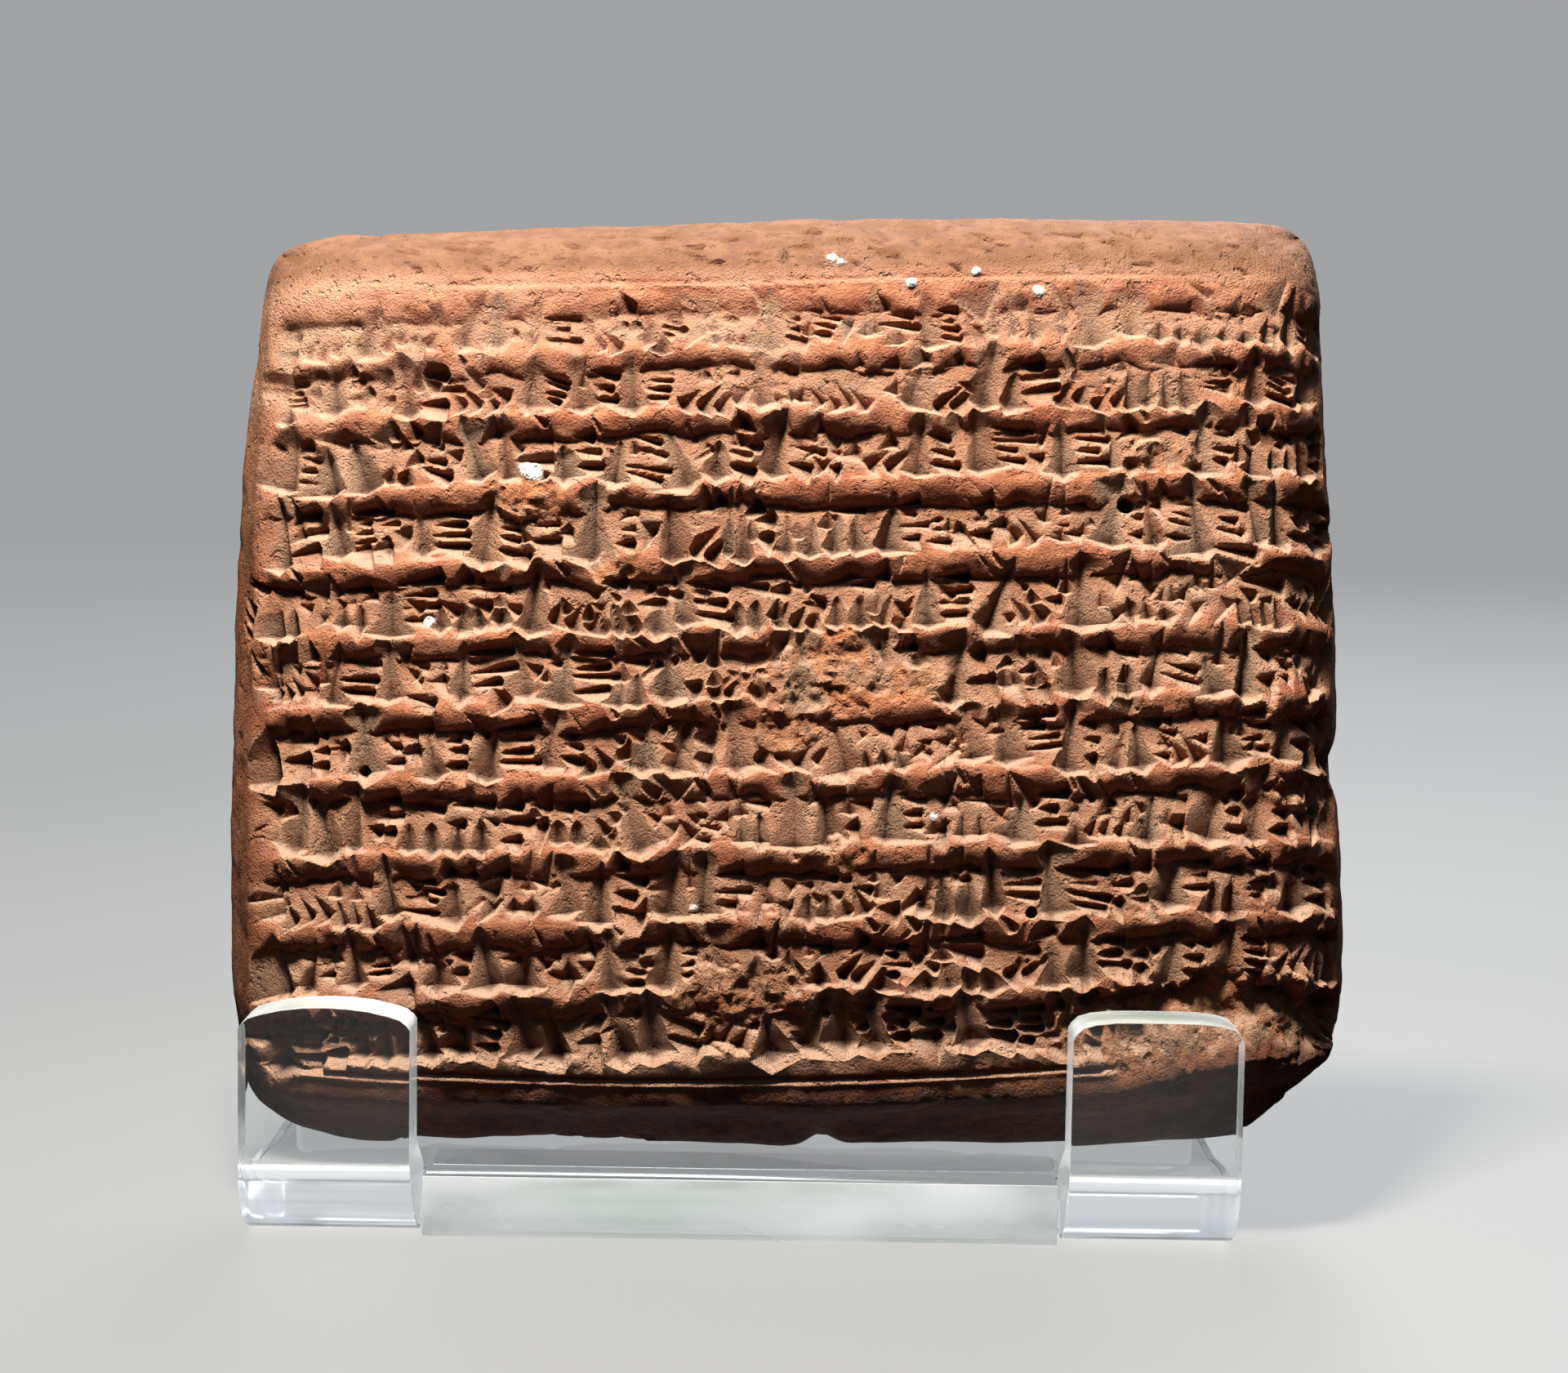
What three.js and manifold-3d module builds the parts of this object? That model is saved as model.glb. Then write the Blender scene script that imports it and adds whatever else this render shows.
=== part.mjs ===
// A clay tablet covered in rows of wedge strokes, leaning back in a cradle bent from one acrylic sheet.
// Units are millimetres. +Z is up, the written face looks towards -Y, and +X is on the right of its reader.

import * as THREE from "three";
import { mergeVertices } from "three/addons/utils/BufferGeometryUtils.js";
import Module from "manifold-3d";

// --- Driving dimensions --------------------------------------------------------------------------

const GAP = 0.3; // left between pieces that rest on each other
const ABOVE = 1; // how far a cutter stands out of the clay, so that it cuts cleanly

// The tablet in its own frame: origin in its middle, x across, z up, and y into the clay.
// Each side is furthest out, at reach, on its widest level. Away from there it draws in by curve times the
// square of the distance.
const LEFT_SIDE = { reach: 48, widestLevel: -7, curve: 0.00134 };
const RIGHT_SIDE = { reach: 47.5, widestLevel: -18, curve: 0.00035 };
const TOP_EDGE = 39.8; // height of the crowned top above the middle, at the centre
const TOP_RISE = 0.015; // the top climbs a little to the right
const TOP_CURVE = 0.0006;
const BOTTOM_EDGE = 40.3; // depth of the sagging bottom below the middle, at the centre
const BOTTOM_DROP = 0.008; // the bottom sinks a little to the right
const BOTTOM_CURVE = 0.0003;
const TOP_CORNER = 28; // superellipse powers: a high power is a tight corner
const LEFT_FOOT_CORNER = 11;
const RIGHT_FOOT_CORNER = 8;
const FACE_BULGE = 12; // from the mid-plane to the middle of the written face
const BACK_BULGE = 14;
const FACE_POWER = 8; // a high power is a flat surface with tight edges: the face is flatter than the back
const BACK_POWER = 3.6;
const FACE_BANDS = 8; // rings of facets between the middle and the outline
const BACK_BANDS = 5;
const FACETS_PER_WIDTH = 18; // round the outline
const FACETS_PER_HEIGHT = 14;
const INNERMOST = 0.02; // reach of the first ring, which closes the surface
const LEAN_BACK = 11; // degrees
const TURN = 1.15; // degrees in its own plane, right side up: it doesn't sit square in the cradle

// The writing
const FIRST_LINE = 31.9; // level of the ruled line above the first row
const ROW_HEIGHTS = [4.9, 5.4, 6.1, 6.2, 6.1, 6, 6, 6.2, 5.9, 5.7, 5.7]; // as the hand left them
const LAST_LINE = -34.6;
const ROW_START = -44.3;
const ROW_END = 45;
const ROW_RISE = 0.011; // each row climbs to the right by this share of its length
const ROLL = 1.5; // height of the smooth roll of clay left between two rows
const ROLL_UNDERSIDE = 0.5; // height over which the roll falls to the written strip
const ROW_DEPTH = 0.5; // the written strip lies this far below the rolls at its top
const LEDGE_DEPTH = 0.75; // and this far at its foot
const STATIONS = 8; // sections of a cutter that follows the face
const LINE_WIDTH = 0.5;
const LINE_DEPTH = 0.3;
const STROKE_DEPTH = 1; // below the written strip
const STROKES_PER_ROW = 11;
const UPRIGHT_SHARE = 0.5; // of the strokes; the rest are slanting strokes and pairs of level ones
const SLANTING_SHARE = 0.25;
const UPRIGHT_WIDTH = [3.2, 4.4];
const SLANTING_WIDTH = [2.4, 3.2];
const SLANTING_LENGTH = 0.9; // of the height of the strip
const STEEPEST_SLANT = 50; // degrees from upright
const LEVEL_WIDTH = 2;
const LEVEL_LENGTH = 0.7; // of the room for one stroke
const LEVEL_SPACING = 0.2; // above and below the middle, as a share of the strip's height
const TOP_LINE = { start: -28, end: 34 }; // the ruled lines' ends
const FOOT_LINE = { start: -38, end: 24 };

// The cradle, before it is centred: y = 0 is the cut front edge between the two tabs.
const SHEET = 5;
const BEND_INSIDE = 3;
const BEND_OUTSIDE = BEND_INSIDE + SHEET;
const STAND_WIDTH = 80.9;
const TAB_WIDTH = 13.8;
const TAB_HEIGHT = 20.2; // above the shelf, at the middle of its crowned top
const TAB_CROWN = 1.1;
const TAB_CORNER = 1.6;
const TAB_PROUD = 4.8; // the tabs' front faces stand this far in front of the edge between them
const REST_LEAN = 9; // degrees
const REST_TOP = 62;
const REST_WIDTH = 50;
const REST_CORNER = 6;
const SHOULDER = 15; // above this level the back-rest is narrower than the base
const SHOULDER_SLOPE = 1; // rise of the shoulder from its round end
const NECK = 8; // height above the shoulder at which the back-rest has its full narrowness
const STAND_OFFSET = -3.3; // its middle lies to the left of the tablet's
const LAP = 1; // how far pieces of the cradle's form run into each other before they are joined
const CUTTER_DEPTH = 200; // longer than anything it cuts

const radians = THREE.MathUtils.degToRad;

// --- Joining and cutting -------------------------------------------------------------------------

const wasm = await Module();
wasm.setup();

// A closed geometry as a solid, its faces turned out whichever way round they were listed.
function solid(geometry) {
  const bare = geometry.clone();
  bare.deleteAttribute("normal");
  bare.deleteAttribute("uv");
  const merged = mergeVertices(bare, 1e-4);
  const vertProperties = merged.attributes.position.array;
  const listed = new Uint32Array(merged.index.array);
  const bodyOf = (triVerts) => new wasm.Manifold(new wasm.Mesh({ numProp: 3, vertProperties, triVerts }));
  const body = bodyOf(listed);
  return body.volume() > 0 ? body : bodyOf(listed.toReversed());
}

function geometryOf(body) {
  const mesh = body.getMesh();
  const geometry = new THREE.BufferGeometry();
  geometry.setAttribute("position", new THREE.BufferAttribute(mesh.vertProperties, 3));
  geometry.setIndex(new THREE.BufferAttribute(mesh.triVerts, 1));
  return geometry;
}

const join = (bodies) => bodies.reduce((all, body) => all.add(body));

// Crumbs that the cuts leave loose fall away.
function largest(body) {
  const bySize = body.decompose().sort((a, b) => b.volume() - a.volume());
  return bySize[0];
}

// A closed skin over rings of points, each ring with the same number of points, with flat ends.
function loft(rings) {
  const count = rings[0].length;
  const points = rings.flat();
  const index = [];
  for (let ring = 0; ring + 1 < rings.length; ring++) {
    for (let i = 0; i < count; i++) {
      const a = ring * count + i;
      const b = ring * count + ((i + 1) % count);
      index.push(a, b, a + count, b, b + count, a + count);
    }
  }
  const last = (rings.length - 1) * count;
  for (let i = 1; i + 1 < count; i++) {
    index.push(0, i + 1, i);
    index.push(last, last + i, last + i + 1);
  }
  const geometry = new THREE.BufferGeometry();
  geometry.setAttribute("position", new THREE.Float32BufferAttribute(points.flat(), 3));
  geometry.setIndex(index);
  return geometry;
}

// --- The tablet's form ---------------------------------------------------------------------------

function halfWidth(x, z) {
  const side = x < 0 ? LEFT_SIDE : RIGHT_SIDE;
  return side.reach - side.curve * (z - side.widestLevel) ** 2;
}

function halfHeight(x, z) {
  if (z > 0) return TOP_EDGE + TOP_RISE * x - TOP_CURVE * x * x;
  return BOTTOM_EDGE + BOTTOM_DROP * x - BOTTOM_CURVE * x * x;
}

function cornerPower(x, z) {
  if (z > 0) return TOP_CORNER;
  return x < 0 ? LEFT_FOOT_CORNER : RIGHT_FOOT_CORNER;
}

// 0 in the middle of the tablet, 1 on its outline.
function reach(x, z) {
  const power = cornerPower(x, z);
  const across = Math.abs(x) / halfWidth(x, z);
  const along = Math.abs(z) / halfHeight(x, z);
  return (across ** power + along ** power) ** (1 / power);
}

// How much of its full bulge the pillow shape has at a place: 1 in the middle, 0 on the outline.
function pillow(x, z, power) {
  const across = Math.abs(x) / halfWidth(x, z);
  const along = Math.abs(z) / halfHeight(x, z);
  const squared = reach(x, z) / Math.max(across, along, 1e-6); // turns the rounded outline into a square
  const left = 1 - Math.min(1, across * squared) ** power;
  const high = 1 - Math.min(1, along * squared) ** power;
  return Math.sqrt(left * high);
}

// The face's y at a place on it, on the side towards the reader.
const faceAt = (x, z) => -FACE_BULGE * pillow(x, z, FACE_POWER);

// The place that lies at a given reach in a given direction.
function placeAt(dx, dz, wanted) {
  let scale = wanted;
  for (let step = 0; step < 12 && wanted > 0; step++) {
    scale *= wanted / reach(dx * scale, dz * scale);
  }
  return [dx * scale, dz * scale];
}

// Directions round the outline, closest together at the corners.
function outlineDirections(perWidth, perHeight) {
  const corners = [[-1, -1], [1, -1], [1, 1], [-1, 1]];
  return corners.flatMap(([x0, z0], side) => {
    const [x1, z1] = corners[(side + 1) % corners.length];
    const steps = side % 2 ? perHeight : perWidth;
    return Array.from({ length: steps }, (_, step) => {
      const share = (1 + Math.sin(Math.PI * (step / steps - 0.5))) / 2;
      const x = THREE.MathUtils.lerp(x0, x1, share) * LEFT_SIDE.reach;
      const z = THREE.MathUtils.lerp(z0, z1, share) * TOP_EDGE;
      return [x, z];
    });
  });
}

function tabletBlank() {
  const directions = outlineDirections(FACETS_PER_WIDTH, FACETS_PER_HEIGHT);
  const ring = (angle, bulge, power) => {
    const wanted = Math.max(INNERMOST, Math.cos(angle) ** (2 / power));
    return directions.map(([dx, dz]) => {
      const [x, z] = placeAt(dx, dz, wanted);
      return [x, angle > 0 ? bulge * pillow(x, z, power) : 0, z];
    });
  };
  const angles = (bands) => Array.from({ length: bands }, (_, band) => (Math.PI / 2) * (1 - band / bands));
  const face = angles(FACE_BANDS).map((angle) => ring(angle, -FACE_BULGE, FACE_POWER));
  const outline = ring(0, 0, FACE_POWER);
  const back = angles(BACK_BANDS).map((angle) => ring(angle, BACK_BULGE, BACK_POWER));
  return solid(loft([...face, outline, ...back.toReversed()]));
}

// --- The writing ---------------------------------------------------------------------------------

// A cutter that follows the face along a row: its section is a list of [level, depth below the face].
function strip(start, end, sectionAt) {
  const rings = Array.from({ length: STATIONS + 1 }, (_, station) => {
    const x = THREE.MathUtils.lerp(start, end, station / STATIONS);
    return sectionAt(x).map(([z, depth]) => [x, faceAt(x, z) + depth, z]);
  });
  return solid(loft(rings));
}

const rowLevel = (row, x) => {
  const above = ROW_HEIGHTS.slice(0, row).reduce((sum, height) => sum + height, 0);
  return FIRST_LINE - above + ROW_RISE * x;
};

// One written strip, below the roll above it and down to the ledge on the roll below it.
function writtenStrip(row) {
  return strip(ROW_START, ROW_END, (x) => {
    const top = rowLevel(row, x) - ROLL;
    const foot = rowLevel(row + 1, x);
    return [
      [top, -ABOVE],
      [top - ROLL_UNDERSIDE, ROW_DEPTH],
      [foot, LEDGE_DEPTH],
      [foot, -ABOVE],
    ];
  });
}

function ruledLine(level, { start, end }) {
  return strip(start, end, (x) => {
    const z = level + ROW_RISE * x;
    return [
      [z + LINE_WIDTH, -ABOVE],
      [z, LINE_DEPTH],
      [z - LINE_WIDTH, -ABOVE],
    ];
  });
}

// The dent of a stylus: a pointed tail that deepens to a broad head. At angle 0 the head is at the foot.
function stroke(x, z, length, width, angle, depth) {
  const along = [Math.sin(angle), -Math.cos(angle)];
  const across = [along[1], -along[0]];
  const place = (ahead, aside, down) => {
    const px = x + along[0] * ahead + across[0] * aside;
    const pz = z + along[1] * ahead + across[1] * aside;
    return [px, faceAt(x, z) + down, pz];
  };
  const flare = 1 + ABOVE / depth;
  const head = length / 2;
  const tail = place(-head - (length * ABOVE) / depth, 0, -ABOVE);
  const left = place(head, (-width / 2) * flare, -ABOVE);
  const right = place(head, (width / 2) * flare, -ABOVE);
  const deep = place(head, 0, depth);
  const points = [tail, left, right, deep];
  const geometry = new THREE.BufferGeometry();
  geometry.setAttribute("position", new THREE.Float32BufferAttribute(points.flat(), 3));
  geometry.setIndex([0, 2, 1, 0, 1, 3, 1, 2, 3, 2, 0, 3]);
  return solid(geometry);
}

// Evenly spread numbers that come out the same each time, by the minimal standard generator.
const MULTIPLIER = 16807;
const MODULUS = 2147483647;
let seed = 11;
function random(low, high) {
  seed = (seed * MULTIPLIER) % MODULUS;
  return low + ((high - low) * seed) / MODULUS;
}

const LEVEL_ANGLE = radians(90);
const STROKE_PLACE = [0.3, 0.7]; // where in its room each stroke may stand

// Strokes of one row: upright wedges, slanting ones, and short level ones, in no order that reads.
function rowStrokes(row) {
  const pitch = (ROW_END - ROW_START) / STROKES_PER_ROW;
  const strokes = [];
  for (let place = 0; place < STROKES_PER_ROW; place++) {
    const x = ROW_START + pitch * (place + random(...STROKE_PLACE));
    const top = rowLevel(row, x) - ROLL;
    const foot = rowLevel(row + 1, x);
    const middle = (top + foot) / 2;
    const height = top - foot;
    const kind = random(0, 1);
    if (kind < UPRIGHT_SHARE) {
      strokes.push(stroke(x, middle, height, random(...UPRIGHT_WIDTH), 0, ROW_DEPTH + STROKE_DEPTH));
    } else if (kind < UPRIGHT_SHARE + SLANTING_SHARE) {
      const slant = radians(random(-STEEPEST_SLANT, STEEPEST_SLANT));
      const width = random(...SLANTING_WIDTH);
      strokes.push(stroke(x, middle, height * SLANTING_LENGTH, width, slant, ROW_DEPTH + STROKE_DEPTH));
    } else {
      for (const offset of [LEVEL_SPACING, -LEVEL_SPACING]) {
        const z = middle + height * offset;
        strokes.push(stroke(x, z, pitch * LEVEL_LENGTH, LEVEL_WIDTH, LEVEL_ANGLE, STROKE_DEPTH));
      }
    }
  }
  return strokes;
}

// --- Chips and broken corners --------------------------------------------------------------------

const LUMPINESS = [0.85, 1.1]; // how far a chip's surface varies from an even lump

// A lumpy cutter of the given sizes, its middle at that depth behind the face, turned by degrees.
function chip(x, z, below, [width, depth, height], turn) {
  const geometry = new THREE.IcosahedronGeometry(1, 1);
  const lump = mergeVertices(geometry.deleteAttribute("normal").deleteAttribute("uv"), 1e-4);
  const position = lump.attributes.position;
  for (let i = 0; i < position.count; i++) {
    const size = random(...LUMPINESS);
    position.setXYZ(i, position.getX(i) * size, position.getY(i) * size, position.getZ(i) * size);
  }
  lump.scale(width / 2, depth / 2, height / 2);
  lump.rotateY(radians(turn));
  lump.translate(x, faceAt(x, z) + below, z);
  return solid(lump);
}

function breaks() {
  return [
    chip(39, -29.6, -1.2, [18, 6, 8], -8), // flaked away over the right foot
    chip(44.5, -11.2, -0.6, [7, 6, 3.6], 0), // gouge at the right edge
    chip(4.5, -16.2, -0.4, [4, 2.6, 4], 0), // round pit
    chip(28.4, 13, 0, [1.4, 6, 1.2], 0), // small deep holes
    chip(-35.4, -9, 0, [1, 4, 1], 0),
    chip(2.6, -40.6, 4, [2.6, 14, 2.4], 0), // nick in the foot
    chip(43.6, -37.4, 6, [26, 40, 5], -39), // right foot corner, broken away
    chip(-48.5, -40.5, 8, [7, 40, 6], 40), // left foot corner
    chip(-48, 33, 3, [4, 12, 7], 5), // step worn in the left edge
  ];
}

function clayTablet() {
  const rows = ROW_HEIGHTS.map((_, row) => row);
  const cuts = [
    ...rows.map(writtenStrip),
    ...rows.flatMap(rowStrokes),
    ruledLine(FIRST_LINE, TOP_LINE),
    ruledLine(LAST_LINE, FOOT_LINE),
    ...breaks(),
  ];
  return largest(tabletBlank().subtract(join(cuts)));
}

// --- The cradle ----------------------------------------------------------------------------------

// Turns an extrusion of a side view (shape x is y, shape y is z) so that it runs across, centred on x.
function acrossFrom(shape, width, x) {
  const settings = { depth: width, bevelEnabled: false, curveSegments: 8 };
  const geometry = new THREE.ExtrudeGeometry(shape, settings);
  const turned = new THREE.Matrix4().makeBasis(
    new THREE.Vector3(0, 1, 0),
    new THREE.Vector3(0, 0, 1),
    new THREE.Vector3(1, 0, 0),
  );
  return solid(geometry.applyMatrix4(turned).translate(x - width / 2, 0, 0));
}

// An extrusion of a front view (shape y is z) that reaches a long way to the front and the back.
function throughFrom(shape) {
  const settings = { depth: CUTTER_DEPTH, bevelEnabled: false, curveSegments: 6 };
  const geometry = new THREE.ExtrudeGeometry(shape, settings);
  return solid(geometry.rotateX(Math.PI / 2).translate(0, CUTTER_DEPTH / 2, 0));
}

function frontTab(x) {
  const centre = BEND_OUTSIDE - TAB_PROUD;
  const bend = new THREE.Shape();
  bend.moveTo(centre + LAP, 0);
  bend.lineTo(centre + LAP, SHEET);
  bend.lineTo(centre, SHEET);
  bend.absarc(centre, BEND_OUTSIDE, BEND_INSIDE, -Math.PI / 2, -Math.PI, true);
  bend.lineTo(centre - BEND_INSIDE, TAB_HEIGHT);
  bend.lineTo(centre - BEND_OUTSIDE, TAB_HEIGHT);
  bend.absarc(centre, BEND_OUTSIDE, BEND_OUTSIDE, -Math.PI, -Math.PI / 2, false);
  const half = TAB_WIDTH / 2;
  const shoulder = TAB_HEIGHT - TAB_CROWN - TAB_CORNER;
  const top = new THREE.Shape();
  top.moveTo(x - half, -LAP);
  top.lineTo(x + half, -LAP);
  top.lineTo(x + half, shoulder);
  top.quadraticCurveTo(x + half, shoulder + TAB_CORNER, x + half - TAB_CORNER, shoulder + TAB_CORNER);
  top.quadraticCurveTo(x, TAB_HEIGHT + TAB_CROWN, x - half + TAB_CORNER, shoulder + TAB_CORNER);
  top.quadraticCurveTo(x - half, shoulder + TAB_CORNER, x - half, shoulder);
  return acrossFrom(bend, TAB_WIDTH, x).intersect(throughFrom(top));
}

// Base and back-rest as one bent strip. restPlane places the back-rest's front face along its normal.
function baseAndRest(x, restPlane) {
  const lean = radians(REST_LEAN);
  const start = BEND_OUTSIDE - TAB_PROUD;
  const bendY = (restPlane - BEND_INSIDE + BEND_OUTSIDE * Math.sin(lean)) / Math.cos(lean);
  const arcEnd = -lean;
  const rise = (REST_TOP - BEND_OUTSIDE) / Math.cos(lean);
  const edge = (radius) => [
    bendY + radius * Math.cos(lean) + rise * Math.sin(lean),
    BEND_OUTSIDE - radius * Math.sin(lean) + rise * Math.cos(lean),
  ];
  const side = new THREE.Shape();
  side.moveTo(start, 0);
  side.lineTo(bendY, 0);
  side.absarc(bendY, BEND_OUTSIDE, BEND_OUTSIDE, -Math.PI / 2, arcEnd, false);
  side.lineTo(...edge(BEND_OUTSIDE));
  side.lineTo(...edge(BEND_INSIDE));
  side.absarc(bendY, BEND_OUTSIDE, BEND_INSIDE, arcEnd, -Math.PI / 2, true);
  side.lineTo(start, SHEET);
  const half = STAND_WIDTH / 2;
  const restHalf = REST_WIDTH / 2;
  const front = new THREE.Shape();
  front.moveTo(x - half, -LAP);
  front.lineTo(x + half, -LAP);
  front.lineTo(x + half, SHOULDER - REST_CORNER);
  front.quadraticCurveTo(x + half, SHOULDER, x + half - REST_CORNER, SHOULDER + SHOULDER_SLOPE);
  front.lineTo(x + restHalf, SHOULDER + NECK);
  front.lineTo(x + restHalf, REST_TOP - REST_CORNER);
  front.quadraticCurveTo(x + restHalf, REST_TOP, x + restHalf - REST_CORNER, REST_TOP);
  front.lineTo(x - restHalf + REST_CORNER, REST_TOP);
  front.quadraticCurveTo(x - restHalf, REST_TOP, x - restHalf, REST_TOP - REST_CORNER);
  front.lineTo(x - restHalf, SHOULDER + NECK);
  front.lineTo(x - half + REST_CORNER, SHOULDER + SHOULDER_SLOPE);
  front.quadraticCurveTo(x - half, SHOULDER, x - half, SHOULDER - REST_CORNER);
  return acrossFrom(side, STAND_WIDTH, x).intersect(throughFrom(front));
}

// The flat edge between the tabs, which stays straight when they are bent up.
function edgeBetweenTabs(x) {
  const width = STAND_WIDTH - 2 * TAB_WIDTH;
  const depth = BEND_OUTSIDE - TAB_PROUD + LAP;
  const bar = new THREE.BoxGeometry(width, depth, SHEET);
  return solid(bar.translate(x, depth / 2, SHEET / 2));
}

function acrylicStand(x, restPlane) {
  const tabX = (STAND_WIDTH - TAB_WIDTH) / 2;
  return join([baseAndRest(x, restPlane), edgeBetweenTabs(x), frontTab(x - tabX), frontTab(x + tabX)]);
}

// --- Assembly ------------------------------------------------------------------------------------

const clay = new THREE.MeshStandardMaterial({ color: 0xa4683f, roughness: 0.85, metalness: 0 });
const acrylic = new THREE.MeshStandardMaterial({
  color: 0xdfe6e2,
  roughness: 0.08,
  metalness: 0,
  transparent: true,
  opacity: 0.35,
});

// The tablet leans back, and is set down on the base and up against the tabs.
const tabletGeometry = geometryOf(clayTablet());
tabletGeometry.rotateY(-radians(TURN));
tabletGeometry.rotateX(-radians(LEAN_BACK));
tabletGeometry.computeBoundingBox();
const tabsBack = SHEET - TAB_PROUD;
const settle = new THREE.Vector3(
  0,
  tabsBack + GAP - tabletGeometry.boundingBox.min.y,
  SHEET + GAP - tabletGeometry.boundingBox.min.z,
);
tabletGeometry.translate(...settle);

// The back-rest is placed against the furthest point of the tablet's back.
const restNormal = new THREE.Vector3(0, Math.cos(radians(REST_LEAN)), -Math.sin(radians(REST_LEAN)));
const corner = new THREE.Vector3();
const points = tabletGeometry.attributes.position;
let furthest = -Infinity;
for (let i = 0; i < points.count; i++) {
  furthest = Math.max(furthest, corner.fromBufferAttribute(points, i).dot(restNormal));
}
const standGeometry = geometryOf(acrylicStand(STAND_OFFSET, furthest + GAP));

const tablet = new THREE.Mesh(tabletGeometry, clay);
tablet.name = "clay_tablet";
const stand = new THREE.Mesh(standGeometry, acrylic);
stand.name = "acrylic_stand";

// The origin is at the middle of the whole, at the level of the shelf.
const inner = new THREE.Group();
inner.add(tablet, stand);
const middle = new THREE.Box3().setFromObject(inner).getCenter(new THREE.Vector3());
inner.position.set(-middle.x, -middle.y, 0);

const group = new THREE.Group();
group.add(inner);

export default group;
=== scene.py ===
"""A clay tablet covered in rows of wedge strokes, leaning back in a cradle bent from clear acrylic sheet."""

import math

import bmesh
import bpy
import numpy as np
from mathutils import Matrix, Vector


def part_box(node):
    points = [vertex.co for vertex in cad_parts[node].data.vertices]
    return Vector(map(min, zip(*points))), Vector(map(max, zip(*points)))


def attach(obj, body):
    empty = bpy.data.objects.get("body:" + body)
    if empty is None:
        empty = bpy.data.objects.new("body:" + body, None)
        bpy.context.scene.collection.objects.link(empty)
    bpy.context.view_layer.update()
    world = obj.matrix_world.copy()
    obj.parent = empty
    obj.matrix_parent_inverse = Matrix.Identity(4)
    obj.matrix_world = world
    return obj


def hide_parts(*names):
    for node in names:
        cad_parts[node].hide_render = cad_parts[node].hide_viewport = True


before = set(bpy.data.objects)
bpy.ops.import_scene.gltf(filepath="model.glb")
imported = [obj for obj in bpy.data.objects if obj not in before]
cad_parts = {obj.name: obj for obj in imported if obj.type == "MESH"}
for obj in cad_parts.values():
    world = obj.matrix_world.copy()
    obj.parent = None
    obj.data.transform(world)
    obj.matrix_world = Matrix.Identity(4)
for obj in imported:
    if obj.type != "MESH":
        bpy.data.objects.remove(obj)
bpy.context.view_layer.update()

# --- Camera -------------------------------------------------------------------------------------------
# It looks straight at the tablet from just above the level of its middle, and is held a little off level.
CAMERA_ELEVATION = math.radians(5.7)
CAMERA_DISTANCE = 0.262
CAMERA_ROLL = math.radians(0.9)
CAMERA_TARGET = Vector((-0.0003, 0, 0.0442))
CAMERA_LENS, SENSOR_WIDTH = 69.4, 36

outward = Vector((0, -math.cos(CAMERA_ELEVATION), math.sin(CAMERA_ELEVATION)))
level_right = Vector((1, 0, 0))
level_up = outward.cross(level_right)
camera_right = level_right * math.cos(CAMERA_ROLL) + level_up * math.sin(CAMERA_ROLL)
camera_up = outward.cross(camera_right)
camera_data = bpy.data.cameras.new("camera")
camera_data.lens = CAMERA_LENS
camera_data.sensor_width = SENSOR_WIDTH
camera_data.clip_start = 0.01
camera = bpy.data.objects.new("camera", camera_data)
bpy.context.scene.collection.objects.link(camera)
axes = Matrix((camera_right, camera_up, outward)).transposed().to_4x4()
camera.matrix_world = Matrix.Translation(CAMERA_TARGET + outward * CAMERA_DISTANCE) @ axes
bpy.context.scene.camera = camera


# --- Floor and light ----------------------------------------------------------------------------------
# A plain pale table top and backdrop. A lamp just above and in front lights the face at a low slant, which
# shows its relief; weaker ones in front and behind open the shadows, and a pale ceiling panel shows only in
# gloss and through the acrylic.
FLOOR_SIZE, BACKDROP_RADIUS, BACKDROP_HEIGHT, BACKDROP_SUNK = 6, 1.6, 1.6, 0.01
PAPER_WHITE = (0.95, 0.97, 1, 1)
FLOOR_GLOW, BACKDROP_GLOW, WORLD_GLOW = 0.36, 0.37, 0.04


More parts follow.
